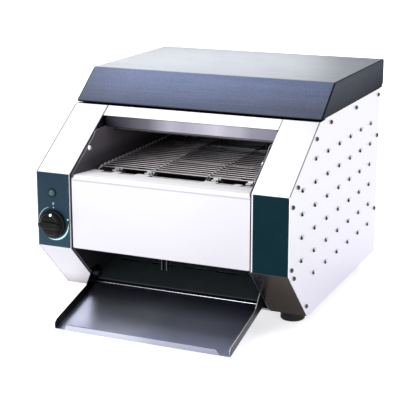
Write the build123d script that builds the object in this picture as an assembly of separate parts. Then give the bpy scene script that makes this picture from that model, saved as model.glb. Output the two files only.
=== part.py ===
"""Conveyor toaster for a shop counter: slices ride in on a wire belt, drop at the rear and slide out below.

X runs across the machine to its right, Y from the control face to the rear and Z up from the underside of
the base. Everything is modelled in that machine frame, in millimetres, and each piece is moved at the end
so that the origin lies under the middle of the whole machine, on the surface that it stands on.
"""

import os
from math import atan2, cos, degrees, hypot, pi, radians, sin, tan

from build123d import *

# ---- Driving dimensions -------------------------------------------------------------------------------

body_width = 368.0            # over the two side panels
body_depth = 406.0            # control face to the rear edge of the side panels
face_bottom = 78.4            # control face: where it meets the undercut below
face_top = 182.8              # control face: where it meets the sloping part above
undercut_depth = 78.7         # the undercut reaches the underside this far back
slope_depth = 114.8           # the slope ends here, just under the hood
slope_height = 258.8
panel_gauge = 1.0             # stainless side panels and columns
frame_gauge = 1.2             # cheeks, deck and rear panel
base_gauge = 1.5

hood_width = 370.6
hood_bottom = 259.6
hood_top = 303.3
hood_front_low = 116.1        # lower front edge of the hood
hood_front_high = 173.4       # upper front edge of the hood
hood_rear = 419.0
hood_gauge = 1.2
hood_seam = 0.8               # open seam between the hood's front face and its ends

column_inner = 131.8          # inner edge of each front column, from the middle
column_seam = 0.7             # open seam between a column and its side panel
plate_inner = 134.0           # inner edge of each green plate
plate_gauge = 0.8
cheek_inner = 128.6           # inside face of each inner cheek
cheek_top = 232.0
cheek_setback = 1.2           # cheeks stay this far behind the slope and the undercut

front_panel_half = 129.7
front_panel_setback = 1.5
front_panel_bottom = 79.5
front_panel_crease = 177.0
ledge_crown_y, ledge_crown_z = 8.0, 182.2
ledge_rear_y, ledge_rear_z = 59.0, 177.4
ledge_half = 128.1
notch_depth = 10.0
ledge_notches = ((-41.0, 41.0), (60.0, 85.0), (-85.0, -60.0), (95.0, 113.0), (-113.0, -95.0))

belt_pitch = 11.0             # from one wire to the next
belt_teeth = 12               # wires round one full sprocket
belt_run_pitches = 24         # wires along one straight run
belt_wire = 1.7
belt_half = 124.0
belt_joints = (-41.0, 41.0)   # the hinged joints between the belt's three spaces
joint_half = 3.0
hook_reach = 12.6             # how far a loop reaches forward, past the next wire
hook_dip = 3.2                # how far under the next wire it passes
belt_radius = belt_pitch * belt_teeth / (2 * pi)
front_shaft_y = 80.0
shaft_z = 159.8
rear_shaft_y = front_shaft_y + belt_pitch * belt_run_pitches
belt_run_z = shaft_z + belt_radius
shaft_radius = 6.0
running_gap = 0.05            # radial clearance of every running fit
sprocket_places = (-100.0, -50.0, 50.0, 100.0)
sprocket_width = 7.0
sprocket_gap = 0.5            # tooth tips stay this far inside the belt

tube_radius = 4.2
tube_window_gap = 0.15        # each tube sits in a square window of the cheek
upper_tube_z = 225.0
lower_tube_z = 165.5
tube_places = (130.0, 205.0, 280.0)

gear_module = 2.5
drive_gear_teeth = 30
pinion_teeth = 12
gear_inner, gear_width = 156.0, 7.0
motor_radius, motor_inner, motor_outer = 26.0, 131.6, 151.6

tray_half = 127.6             # outside of the toast tray's walls
tray_gauge = 1.0
tray_front_y, tray_front_z = -57.0, -18.0
tray_slope = 14.5             # degrees, down towards the front
tray_floor = 123.6
tray_rear_hem = 5.0
tray_wall = 11.1
tray_lip_height, tray_lip_half = 9.4, 112.0
ear_along, ear_height, ear_radius = 125.7, 24.8, 12.4
pivot_radius = 3.0

slide_front_y, slide_front_z = 64.6, 17.2
slide_slope = 13.5            # degrees
slide_rear_y = 390.0
slide_top = 128.0

crumb_half = 116.0
crumb_front, crumb_rear = 92.0, 405.6
crumb_low, crumb_high = 1.9, 12.3

lamp_x, lamp_z, lamp_radius = -159.9, 154.7, 4.75
knob_x, knob_z, knob_radius, knob_back = -159.0, 111.8, 19.6, -1.2

foot_height = 20.0
foot_radius, foot_edge = 17.0, 1.4
foot_x = 150.0
foot_front_y, foot_rear_y = 117.0, 366.0

louvre_columns = [47.0 + 52.0 * n for n in range(7)]
louvre_rows = [55.5 + 31.5 * n for n in range(6)]
louvre_low, louvre_high = 3.0, 4.6          # mouth of a louvre, below and above its middle
louvre_crown = (-2.0, -0.4)                # flat top of the mouth, which stands low in it
louvre_tail = 0.7
louvre_length, louvre_rise = 13.0, 2.6

half = body_width / 2
side_inner = half - panel_gauge
rear_face = body_depth - 0.8
tray_front_edge = tray_front_y - tray_lip_height * sin(radians(tray_slope))
middle_y = (hood_rear + tray_front_edge) / 2
sides = {"left": -1, "right": 1}


# ---- Shared shapes ------------------------------------------------------------------------------------

def across(points, x_from, x_to):
    """A solid whose outline is drawn in (Y, Z) and which runs across the machine between two X places."""
    outline = make_face(Polyline(*[(x_from, y, z) for y, z in points], close=True))
    return extrude(outline, amount=x_to - x_from, dir=(1, 0, 0))


def box(x_from, x_to, y_from, y_to, z_from, z_to):
    """A block between two corners."""
    size = Box(x_to - x_from, y_to - y_from, z_to - z_from)
    return Pos((x_from + x_to) / 2, (y_from + y_to) / 2, (z_from + z_to) / 2) * size


def rod(radius, x_from, x_to, y, z):
    """A round bar along X."""
    return Pos((x_from + x_to) / 2, y, z) * Rot(0, 90, 0) * Cylinder(radius, x_to - x_from)


def stub(radius, x, z, y_from, y_to):
    """A round bar along Y."""
    return Pos(x, (y_from + y_to) / 2, z) * Rot(90, 0, 0) * Cylinder(radius, y_to - y_from)


def turned(profile_points, place, facing):
    """A turned solid. Its profile is (radius, distance along the axis), and the axis starts at place."""
    outline = make_face(Polyline(*[(radius, 0, along) for radius, along in profile_points], close=True))
    solid = revolve(outline, axis=Axis.Z)
    return Plane(origin=place, z_dir=facing) * solid


def heading(start, end):
    """Unit step from one (Y, Z) point to another."""
    length = hypot(end[0] - start[0], end[1] - start[1])
    return (end[0] - start[0]) / length, (end[1] - start[1]) / length


def parallel(points, distance):
    """The same line of points moved to its left by a distance, with sharp corners."""
    moved = []
    for i, (y, z) in enumerate(points):
        before = heading(points[max(i - 1, 0)], points[max(i, 1)])
        after = heading(points[min(i, len(points) - 2)], points[min(i + 1, len(points) - 1)])
        reach = distance / (1 + before[0] * after[0] + before[1] * after[1])
        moved.append((y - reach * (before[1] + after[1]), z + reach * (before[0] + after[0])))
    return moved


def corner_radii(points, bend, gauge, left):
    """Bend radius at each corner of one face of a sheet: the outside of a bend is one gauge larger."""
    radii = []
    for a, b, c in zip(points, points[1:], points[2:]):
        first, second = heading(a, b), heading(b, c)
        turns_left = first[0] * second[1] - first[1] * second[0] > 0
        radii.append(bend if turns_left == left else bend + gauge)
    return radii


def folded_sheet(points, gauge, x_from, x_to, bend=0.0):
    """A sheet folded along lines across the machine. Its face follows points, and it lies to their left."""
    back = parallel(points, gauge)
    if not bend:
        return across(points + back[::-1], x_from, x_to)
    place = [(x_from, y, z) for y, z in points]
    place_back = [(x_from, y, z) for y, z in back]
    face_line = FilletPolyline(*place, radius=corner_radii(points, bend, gauge, False))
    back_line = FilletPolyline(*place_back, radius=corner_radii(points, bend, gauge, True))
    ends = [Line(place[0], place_back[0]), Line(place[-1], place_back[-1])]
    outline = make_face([face_line.edges(), back_line.edges(), *ends])
    return extrude(outline, amount=x_to - x_from, dir=(1, 0, 0))


def group(solids):
    """Several separate solids kept in one node."""
    flat = [solid for shape in solids for solid in shape.solids()]
    return Compound(children=flat)


def mirrored(shape, side):
    """The right-hand piece as drawn, or its mirror image for the left-hand side."""
    return shape if side > 0 else mirror(shape, about=Plane.YZ)


# ---- Housing ------------------------------------------------------------------------------------------

profile = [(slope_depth, slope_height), (0, face_top), (0, face_bottom), (undercut_depth, 0)]


def louvre_scoop(grow, base):
    """One pressed scoop: its drop-shaped mouth faces front, fullest low down, and it runs out to the rear."""
    rise, end = louvre_rise + grow, louvre_length + 2 * grow
    low, high = (base, 0, -louvre_low - grow), (base, 0, louvre_high + grow)
    crown = [(rise, 0, z) for z in louvre_crown]
    tail = [(base, end, louvre_tail), (base, end, -louvre_tail)]
    sides_of_scoop = [[low, *crown, high], [*crown, *tail], [low, crown[0], tail[1]],
                      [high, crown[1], tail[0]], [low, high, *tail]]
    return Solid(Shell([Face(Wire.make_polygon([Vector(*c) for c in corners])) for corners in sides_of_scoop]))


def louvre_places():
    """Middle of each louvre's mouth: the front column is short, because the panel slopes away there."""
    for y in louvre_columns:
        for z in louvre_rows:
            if y > louvre_columns[0] or louvre_rows[0] < z < louvre_rows[-1]:
                yield y, z


def side_panel(side):
    """Flat stainless panel with undercut, slope and rows of pressed louvres."""
    outline = [(0, face_bottom), (0, face_top), (slope_depth, slope_height), (134, slope_height),
               (166, 290), (body_depth, 290), (body_depth, 3), (body_depth - 3, 0), (undercut_depth, 0)]
    panel = across(outline, side_inner, half)
    outer, inner = louvre_scoop(0.0, -panel_gauge / 2), louvre_scoop(-0.7, -2 * panel_gauge)
    spots = [Pos(half, y, z) for y, z in louvre_places()]
    hollows = [Pos(0, -0.6, 0) * spot * inner for spot in spots]
    return mirrored(panel + [spot * outer for spot in spots] - hollows, side)


def front_column(side):
    """Folded stainless column: slope, control face and undercut, with a flange down each side."""
    low = plate_gauge * (face_bottom / undercut_depth)
    steep = plate_gauge * (slope_height - face_top) / slope_depth
    line = [(slope_depth + 14, slope_height), (slope_depth, slope_height),
            (plate_gauge, face_top + steep), (plate_gauge, face_bottom - low), (undercut_depth, 0),
            (undercut_depth + 14, 0)]
    skin = folded_sheet(line, panel_gauge, column_inner, side_inner - column_seam)
    web_back = parallel(line, 20.0)
    web_back[0], web_back[-1] = (line[0][0], line[0][1] - 20), (line[-1][0], 20)
    flanges = [across(line + web_back[::-1], column_inner, column_inner + panel_gauge),
               across(parallel(line, panel_gauge / 2) + web_back[::-1], side_inner - panel_gauge, side_inner)]
    column = skin + flanges
    if side < 0:
        column -= [stub(lamp_radius + 0.7, -lamp_x, lamp_z, -2, 6), stub(4.2, -knob_x, knob_z, -2, 6)]
    return mirrored(column, side)


def face_plate(side):
    """Thin green plate over the column's control face."""
    plate = box(plate_inner, side_inner - column_seam, 0, plate_gauge, face_bottom + 0.2, face_top - 0.2)
    if side < 0:
        plate -= [stub(lamp_radius + 0.7, -lamp_x, lamp_z, -1, 2), stub(4.2, -knob_x, knob_z, -1, 2)]
    return mirrored(plate, side)


def front_panel():
    """Panel under the loading mouth. Its top turns back as a ledge with notches over the sprockets."""
    face_y = front_panel_setback
    low = front_panel_bottom
    wide = box(-front_panel_half, front_panel_half, face_y, face_y + panel_gauge, low, front_panel_crease)
    hem = box(-cheek_inner + 0.3, cheek_inner - 0.3, face_y, face_y + 24, low, low + panel_gauge)
    ledge = [(face_y, front_panel_crease - 2), (face_y, front_panel_crease), (ledge_crown_y - 2.4, 181.4),
             (ledge_crown_y, ledge_crown_z), (ledge_rear_y, ledge_rear_z)]
    top = folded_sheet(ledge, -panel_gauge, -ledge_half, ledge_half)
    notches = [box(a, b, ledge_rear_y - notch_depth, ledge_rear_y + 1, 170, 190) for a, b in ledge_notches]
    return wide + [hem, top] - notches


def front_panel_clip():
    """Bent spring strip under the middle of the front panel that holds its lower edge."""
    outside = box(-4.2, 4.2, 18, 24, 59, front_panel_bottom)
    return outside - box(-2.8, 2.8, 17, 25, 58, front_panel_bottom - 1.4)


def cross_strip():
    """Bright strip between the columns, in line with their slope, closed off under the hood."""
    rise = (slope_height - face_top) / slope_depth
    low_y = 98.0
    line = [(slope_depth + 14, slope_height), (slope_depth, slope_height),
            (low_y, face_top + rise * low_y)]
    return folded_sheet(line, panel_gauge, -130.6, 130.6)


def upper_baffle():
    """Brushed plate behind the strip that hides the upper heating tubes."""
    line = [(118, 248.0), (101, 248.0), (101, cheek_top - 0.5), (110, cheek_top - 0.5)]
    return folded_sheet(line, panel_gauge, -cheek_inner, cheek_inner)


def hood():
    """Painted hood: a long top with a sloping front, ends and back, open below, with a folded front edge."""
    outline = [(hood_front_low, hood_bottom), (hood_front_high, hood_top), (hood_rear, hood_top),
               (hood_rear, hood_bottom + 7), (hood_rear - 7, hood_bottom)]
    outer = across(outline, -hood_width / 2, hood_width / 2)
    top_edges = outer.edges().group_by(Axis.Z)[-1]
    outer = fillet(top_edges, 1.6)
    lean = atan2(hood_top - hood_bottom, hood_front_high - hood_front_low)
    inside = hood_gauge / sin(lean)
    hollow = [(hood_front_low + inside, hood_bottom - 1), (hood_front_low + inside, hood_bottom),
              (hood_front_high + hood_gauge * tan(lean / 2), hood_top - hood_gauge),
              (hood_rear - hood_gauge, hood_top - hood_gauge), (hood_rear - hood_gauge, hood_bottom - 1)]
    shell = outer - across(hollow, -hood_width / 2 + hood_gauge, hood_width / 2 - hood_gauge)
    return_fold = box(-side_inner, side_inner, hood_front_low + inside - 0.5, hood_front_low + 10,
                      hood_bottom, hood_bottom + hood_gauge)
    rest = box(-side_inner, side_inner, hood_front_low + 5, hood_front_low + 10, slope_height,
               hood_bottom + hood_gauge)
    seam_out = hood_width / 2 - hood_gauge
    lift = (hood_front_high - hood_front_low, hood_top - hood_bottom)
    start = (hood_front_low - 4, hood_bottom + 1.6)
    cut = [start, (start[0] + lift[0] - 4, start[1] + lift[1] - 5),
           (start[0] + lift[0] + 5, start[1] + lift[1] - 9), (start[0] + 9, start[1])]
    seams = [across(cut, s * seam_out - hood_seam / 2, s * seam_out + hood_seam / 2) for s in (-1, 1)]
    return shell + [return_fold, rest] - seams


def top_deck():
    """Sheet under the hood that ties the side panels, with a flange down each side."""
    low = slope_height - 20
    deck = box(-side_inner, side_inner, 136, rear_face - 2, slope_height - frame_gauge, slope_height)
    flange = box(side_inner - frame_gauge, side_inner, 136, rear_face - 2, low, slope_height)
    deck = deck + [flange, mirrored(flange, -1)]
    vents = [box(-90, 90, y, y + 6, slope_height - 3, slope_height + 2) for y in (200, 230, 260, 290)]
    return deck - vents


def rear_panel():
    """Rear sheet between the side panels: cooling slots, a hole for the cord gland and the crumb tray's way out."""
    sheet = box(-side_inner, side_inner, rear_face - frame_gauge, rear_face, base_gauge, 288)
    flange = box(side_inner - frame_gauge, side_inner, rear_face - 14, rear_face, base_gauge, 234)
    panel = sheet + [flange, mirrored(flange, -1)]
    slots = [box(x, x + 46, rear_face - 3, rear_face + 1, z, z + 4)
             for x in (-160, -23, 114) for z in (200, 212, 224, 236)]
    slots.append(box(-crumb_half - 1, crumb_half + 1, rear_face - 3, rear_face + 1, 0, crumb_high + 1.0))
    slots.append(stub(9.1, *gland_place, rear_face - 3, rear_face + 1))
    return panel - slots


def base_pan():
    """Bottom sheet turned up along its sides, with a low lip in front and cooling slots."""
    floor = box(-side_inner, side_inner, undercut_depth + 15, rear_face, 0, base_gauge)
    front = box(-column_inner + 0.2, column_inner - 0.2, undercut_depth, undercut_depth + 15, 0, base_gauge)
    flange = box(side_inner - base_gauge, side_inner, undercut_depth + 18, rear_face - 16, 0, 16)
    lip = box(-cheek_inner + 0.3, cheek_inner - 0.3, undercut_depth, undercut_depth + base_gauge, 0, 2.6)
    slots = [box(x, x + 60, y, y + 6, -1, 3) for x in (-96, -30, 36) for y in (180, 210, 240, 270)]
    return floor + [front, flange, mirrored(flange, -1), lip] - slots


# ---- Chamber: cheeks, belt and heat -------------------------------------------------------------------

gland_place = (-140.0, 40.0)
slide_lean = radians(slide_slope)


def tray_point(along, up):
    """Machine-frame (Y, Z) of a point on the toast tray, given along its floor and up from it."""
    lean = radians(tray_slope)
    return (tray_front_y + along * cos(lean) - up * sin(lean),
            tray_front_z + along * sin(lean) + up * cos(lean))


pivot_place = tray_point(ear_along, ear_height / 2)


def inner_cheek(side):
    """Inner side wall of the toasting chamber. It carries the shafts, the tubes, the slide and the tray."""
    rise = (slope_height - face_top) / slope_depth
    front_y = front_panel_setback + panel_gauge
    slope_drop = cheek_setback / cos(atan2(rise, 1))
    undercut_sum = face_bottom + cheek_setback * 1.414
    top_y = (cheek_top - 8 - face_top + slope_drop) / rise
    front_edge = [(top_y, cheek_top - 8), (front_y, face_top + rise * front_y - slope_drop),
                  (front_y, undercut_sum - front_y), (undercut_sum - base_gauge, base_gauge)]
    outline = front_edge + [(393, base_gauge), (393, cheek_top), (top_y + 14, cheek_top),
                            (top_y + 5, cheek_top - 2)]
    outside = cheek_inner + frame_gauge
    plate = across(outline, cheek_inner, outside)
    edge = folded_sheet(front_edge, frame_gauge, outside, column_inner)
    foot = box(outside, cheek_inner + 14, 130, 300, base_gauge, base_gauge + frame_gauge)
    reach = (cheek_inner - 1, cheek_inner + 3)
    holes = [rod(10.05, *reach, y, shaft_z) for y in (front_shaft_y, rear_shaft_y)]
    window = tube_radius + tube_window_gap
    holes += [box(*reach, y - window, y + window, z - window, z + window)
              for y in tube_places for z in (upper_tube_z, lower_tube_z)]
    holes += [rod(pivot_radius + 0.05, *reach, *pivot_place)]
    holes += [box(outside, column_inner, *[pivot_place[0] + d for d in (-5.2, 5.2)],
                  *[pivot_place[1] + d for d in (-5.2, 5.2)])]
    return mirrored(plate + [edge, foot] - holes, side)


def belt_place(x, along, rise):
    """A point of the belt: across it, along its loop from the front of the top run, and out from it."""
    run = belt_pitch * belt_run_pitches
    arc = pi * belt_radius
    along %= 2 * (run + arc)
    if along < run:
        return x, front_shaft_y + along, belt_run_z + rise
    if along < run + arc:
        angle = pi / 2 - (along - run) / belt_radius
        out = belt_radius + rise
        return x, rear_shaft_y + out * cos(angle), shaft_z + out * sin(angle)
    if along < 2 * run + arc:
        return x, rear_shaft_y - (along - run - arc), shaft_z - belt_radius - rise
    angle = -pi / 2 - (along - 2 * run - arc) / belt_radius
    out = belt_radius + rise
    return x, front_shaft_y + out * cos(angle), shaft_z + out * sin(angle)


def belt_wire_path():
    """One wire of the belt, as (across, along, rise): straight in each space, looped at each joint."""
    path = [(-belt_half, hook_reach, -hook_dip), (-belt_half, 0, 0)]
    for joint in belt_joints:
        for across_to, forward in ((-joint_half, 0), (-joint_half, 1), (joint_half, 1), (joint_half, 0)):
            path.append((joint + across_to, hook_reach * forward, -hook_dip * forward))
    return path + [(belt_half, 0, 0), (belt_half, hook_reach, -hook_dip)]


def wire_belt():
    """Flat flexible belt: each wire's loops pass forward under the next wire and hook round it."""
    wires = []
    for n in range(2 * (belt_run_pitches + belt_teeth // 2)):
        start = (n + 0.5) * belt_pitch
        points = [Vector(*belt_place(x, start + along, rise)) for x, along, rise in belt_wire_path()]
        outward = Vector(*belt_place(0, start + hook_reach, 1)) - Vector(*belt_place(0, start + hook_reach, 0))
        end_plane = Plane(origin=points[0], x_dir=outward, z_dir=points[1] - points[0])
        section = end_plane * Rectangle(belt_wire, belt_wire)
        wires.append(sweep(section, path=Polyline(*points), transition=Transition.RIGHT))
    return group(wires)


def shaft(x_from, x_to, y):
    """Plain round shaft."""
    return rod(shaft_radius, x_from, x_to, y, shaft_z)


def toothed_wheel(teeth, tip, root, tip_share, x_from, x_to, y, z, bore, turn=0.0):
    """Wheel with straight-sided teeth. tip_share is how much of one pitch the tip of a tooth takes."""
    step = 2 * pi / teeth
    points = []
    for n in range(teeth):
        for angle, radius in ((-0.5, root), (-tip_share / 2, tip), (tip_share / 2, tip), (0.5, root)):
            at = (n + angle * (1.0 if radius == tip else 0.62)) * step + turn
            points.append((y + radius * cos(at), z + radius * sin(at)))
    return across(points, x_from, x_to) - rod(bore, x_from - 1, x_to + 1, y, z)


def sprockets(y):
    """Four toothed wheels on one shaft. Their teeth end just short of the belt's wires."""
    tip = belt_radius - belt_wire / 2 - sprocket_gap
    wheels = []
    for x in sprocket_places:
        wheel = toothed_wheel(belt_teeth, tip, tip - 4.5, 0.3, x - sprocket_width / 2,
                              x + sprocket_width / 2, y, shaft_z, shaft_radius + 0.02)
        wheels.append(wheel)
    return group(wheels)


def bushes(y):
    """Flanged bearing bushes that the shaft turns in, one pressed into each cheek."""
    bore = shaft_radius + running_gap
    section = [(bore, -1), (10, -1), (10, frame_gauge), (13, frame_gauge), (13, frame_gauge + 2),
               (bore, frame_gauge + 2)]
    bush = turned(section, (cheek_inner, y, shaft_z), (1, 0, 0))
    return group([bush, mirrored(bush, -1)])


def heating_tubes(z):
    """Three straight heating tubes that reach through both cheeks."""
    tubes = []
    for y in tube_places:
        tubes.append(rod(tube_radius, -cheek_inner - 6, cheek_inner + 6, y, z))
    return group(tubes)


def upper_reflector():
    """Bent sheet over the upper tubes that throws their heat down."""
    line = [(120, 227), (118, 231), (304, 231), (300, 221)]
    return folded_sheet(line, panel_gauge, -cheek_inner, cheek_inner)


def lower_reflector():
    """Bent sheet between the belt's two runs that throws the lower tubes' heat up."""
    line = [(112, 158), (118, 150), (294, 150), (300, 158)]
    return folded_sheet(line, panel_gauge, -cheek_inner, cheek_inner)


def belt_support_bars():
    """Two long bars under the belt's top run, ended in cross bars that reach the cheeks."""
    top = belt_run_z - belt_wire / 2 - 0.3
    low = lower_tube_z + tube_radius + 0.6
    parts = []
    for x in (-78.0, 78.0):
        parts.append(box(x - 1.5, x + 1.5, 104, 318, low, top))
    for y in (104.0, 314.0):
        parts.append(box(-cheek_inner, cheek_inner, y, y + 4, low, low + 2.0))
    frame = parts[0] + parts[1:]
    return frame


def rear_toast_guide():
    """Curved guide behind the belt that turns the slices down as they leave it."""
    line = [(330, 219), (368, 219), (389, 198), (389, 133)]
    return folded_sheet(line, panel_gauge, -cheek_inner, cheek_inner, bend=14.0)


def toast_slide():
    """Slide from under the belt's rear to the toast tray, with crumb slots and a rolled front hem."""
    turn_z = slide_front_z + (slide_rear_y - slide_front_y) * tan(slide_lean)
    line = [(slide_front_y, slide_front_z), (slide_rear_y, turn_z), (slide_rear_y, slide_top)]
    sheet = folded_sheet(line, panel_gauge, -cheek_inner, cheek_inner, bend=26.0)
    narrow = tray_half - tray_gauge - 0.4
    relief = box(narrow, cheek_inner + 1, slide_front_y - 3, slide_front_y + 16, 10, 40)
    hem = rod(1.3, -narrow, narrow, slide_front_y, slide_front_z)
    slots = []
    for row in range(3):
        y = 120 + 45 * row
        z = slide_front_z + (y - slide_front_y) * tan(slide_lean)
        for x in (-100, -50, 0, 50, 100):
            slots.append(Pos(x, y, z) * Rot(slide_slope, 0, 0) * Box(34, 5, 6))
    return sheet - [relief, mirrored(relief, -1)] + hem - slots


# ---- Trays --------------------------------------------------------------------------------------------

def toast_tray():
    """Front tray that catches the toast. Its rear hem rests on the slide's hem and stops it level."""
    inner = tray_half - tray_gauge
    floor = box(-inner, inner, 0, tray_floor, 0, tray_gauge)
    corner = 7.0
    wall_lines = [
        Line((inner, corner, tray_wall), (inner, 94, tray_wall)),
        Line((inner, 94, tray_wall), (inner, ear_along - 11, ear_height)),
        Line((inner, ear_along - 11, ear_height), (inner, ear_along, ear_height)),
        ThreePointArc((inner, ear_along, ear_height), (inner, ear_along + ear_radius, ear_radius),
                      (inner, ear_along, 0)),
        Line((inner, ear_along, 0), (inner, 0, 0)),
        Line((inner, 0, 0), (inner, 0, tray_wall - corner)),
        ThreePointArc((inner, 0, tray_wall - corner), (inner, corner * 0.293, tray_wall - corner * 0.293),
                      (inner, corner, tray_wall)),
    ]
    wall = extrude(make_face(wall_lines), amount=tray_gauge, dir=(1, 0, 0))
    wall -= rod(pivot_radius + running_gap, inner - 1, tray_half + 1, ear_along, ear_height / 2)
    lip = box(-tray_lip_half, tray_lip_half, 0, tray_gauge, 0, tray_lip_height)
    lip = chamfer(lip.edges().filter_by(Axis.Y).group_by(Axis.Z)[-1], 6.0, 4.0)
    hem = box(-inner, inner, tray_floor - tray_gauge, tray_floor, 0, tray_rear_hem)
    tray = floor + [wall, mirrored(wall, -1), lip, hem]
    return Pos(0, tray_front_y, tray_front_z) * Rot(tray_slope, 0, 0) * tray


def tray_pivot_screws():
    """Shoulder screws that the tray's ears turn on, one in each cheek."""
    ear_face = tray_half - tray_gauge - 0.3
    grip = cheek_inner + frame_gauge - ear_face
    section = [(0, -1.8), (4.2, -1.8), (4.2, 0), (pivot_radius, 0), (pivot_radius, grip + 1.6), (0, grip + 1.6)]
    screw = turned(section, (ear_face, *pivot_place), (1, 0, 0))
    return group([screw, mirrored(screw, -1)])


def crumb_tray():
    """Shallow tray under the slide, drawn out of the back by its folded handle."""
    outside = box(-crumb_half, crumb_half, crumb_front, crumb_rear - 0.4, crumb_low, crumb_high)
    inside = box(-crumb_half + 1, crumb_half - 1, crumb_front + 1, crumb_rear - 3, crumb_low + 1, crumb_high + 1)
    handle = folded_sheet([(crumb_rear - 0.4, crumb_low), (crumb_rear + 8, crumb_low),
                           (crumb_rear + 8, crumb_low + 6)], panel_gauge, -45, 45)
    return outside - inside + handle


def crumb_tray_runners():
    """Two low angles on the base that guide the crumb tray."""
    line = [(crumb_half + 10, base_gauge), (crumb_half + 0.6, base_gauge), (crumb_half + 0.6, 11)]
    back = [(x + 1.2 * (n > 0), z + 1.2 * (n < 2)) for n, (x, z) in enumerate(line)]
    angle = make_face(Polyline(*[(x, 100, z) for x, z in line + back[::-1]], close=True))
    runner = extrude(angle, amount=280, dir=(0, 1, 0))
    return group([runner, mirrored(runner, -1)])


# ---- Drive --------------------------------------------------------------------------------------------

pinion_place = (rear_shaft_y, shaft_z - gear_module * (drive_gear_teeth + pinion_teeth) / 2 - 0.1)


def drive_gear():
    """Spur gear on the end of the rear shaft."""
    pitch = gear_module * drive_gear_teeth / 2
    return toothed_wheel(drive_gear_teeth, pitch + gear_module * 0.9, pitch - gear_module * 1.15, 0.28,
                         gear_inner, gear_inner + gear_width, rear_shaft_y, shaft_z, shaft_radius + 0.02,
                         turn=-pi / 2)


def motor_pinion():
    """Small gear on the motor's output shaft, in mesh with the drive gear."""
    pitch = gear_module * pinion_teeth / 2
    return toothed_wheel(pinion_teeth, pitch + gear_module * 0.9, pitch - gear_module * 1.15, 0.26,
                         gear_inner, gear_inner + gear_width, *pinion_place, 3.52,
                         turn=pi / 2 + pi / pinion_teeth)


def motor_output_shaft():
    """Output shaft of the gear motor."""
    return rod(3.5, motor_outer - 8, gear_inner + gear_width + 3, *pinion_place)


def gear_motor():
    """Flat geared motor, its shaft pointing outwards, with a terminal cover on its edge."""
    can = rod(motor_radius, motor_inner + 1.5, motor_outer, *pinion_place)
    can += rod(7.0, motor_outer, motor_outer + 2.5, *pinion_place)
    y, z = pinion_place
    can += box(motor_inner + 4, motor_outer - 4, y - 9, y + 9, z - motor_radius - 5, z - motor_radius + 4)
    return can - rod(3.5 + running_gap, motor_outer - 9, motor_outer + 4, *pinion_place)


def motor_bracket():
    """Plate between the cheek and the motor, with a foot fixed to the base."""
    y, z = pinion_place
    plate = box(motor_inner, motor_inner + 1.5, y - 30, y + 30, base_gauge, z + 32)
    foot = box(motor_inner, motor_inner + 26, y - 30, y + 30, base_gauge, base_gauge + 1.5)
    return plate + foot


# ---- Controls and electrics ---------------------------------------------------------------------------

def control_knob():
    """Round knob with a skirt, a tapered crown and a raised grip bar across it."""
    section = [(3.0, 0), (knob_radius, 0), (knob_radius, 3.8), (knob_radius - 2.4, 5.0),
               (knob_radius - 4.6, 11.0), (0, 11.0), (0, 9.0), (3.0, 9.0)]
    body = turned(section, (knob_x, knob_back, knob_z), (0, -1, 0))
    grip = box(knob_x - knob_radius + 3.2, knob_x + knob_radius - 3.2, knob_back - 16, knob_back - 9.5,
               knob_z - 4.2, knob_z + 4.2)
    front = grip.edges().group_by(Axis.Y)[0]
    return body + chamfer(front, 1.6)


def knob_shaft():
    """Shaft of the speed control, fixed in the knob."""
    return stub(3.0, knob_x, knob_z, knob_back - 9, 12)


def speed_control():
    """Body of the rotary speed control behind the column, with its threaded neck and nut."""
    face = plate_gauge + panel_gauge
    bore = 3.0 + running_gap
    section = [(bore, -0.8), (4, -0.8), (4, face), (15, face), (15, face + 16), (0, face + 16), (0, 12.4),
               (bore, 12.4)]
    return turned(section, (knob_x, 0, knob_z), (0, 1, 0))


def pilot_lamp():
    """Domed lens of the power lamp."""
    dome = [(0, -4.2), (3.0, -3.6), (lamp_radius, -1.0), (lamp_radius, 4), (0, 4)]
    return turned(dome, (lamp_x, 0, lamp_z), (0, 1, 0))


def lamp_holder():
    """Dark bezel round the lamp, with the wider body that clamps it behind the column."""
    sleeve = lamp_radius + 0.6
    nut = plate_gauge + panel_gauge
    section = [(lamp_radius, -1.2), (sleeve + 1.0, -1.2), (sleeve + 1.0, 0), (sleeve, 0), (sleeve, nut),
               (sleeve + 3, nut), (sleeve + 3, 16), (0, 16), (0, 4), (lamp_radius, 4)]
    return turned(section, (lamp_x, 0, lamp_z), (0, 1, 0))


def terminal_block():
    """Six-way terminal block on a small foot, in the left bay."""
    block = box(-168, -150, 230, 302, 22, 44)
    ways = [box(-170, -160, 236 + 11 * n, 243 + 11 * n, 26, 40) for n in range(6)]
    foot = box(-170, -146, 226, 306, base_gauge, 22)
    return block - ways + foot


def cord_gland():
    """Gland in the rear panel that the supply cord would leave through."""
    x, z = gland_place
    section = [(4.5, -10), (9, -10), (9, 0), (12, 0), (12, 4), (8, 4), (8, 10), (4.5, 10)]
    return turned(section, (x, rear_face, z), (0, 1, 0))


# ---- Feet ---------------------------------------------------------------------------------------------

def rubber_foot(x, y):
    """Round rubber foot with a bevelled lower edge."""
    low = -foot_height
    section = [(0, 0), (foot_radius, 0), (foot_radius, low + foot_edge), (foot_radius - foot_edge, low), (0, low)]
    return turned(section, (x, y, 0), (0, 0, 1))


# ---- All pieces ---------------------------------------------------------------------------------------

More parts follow.
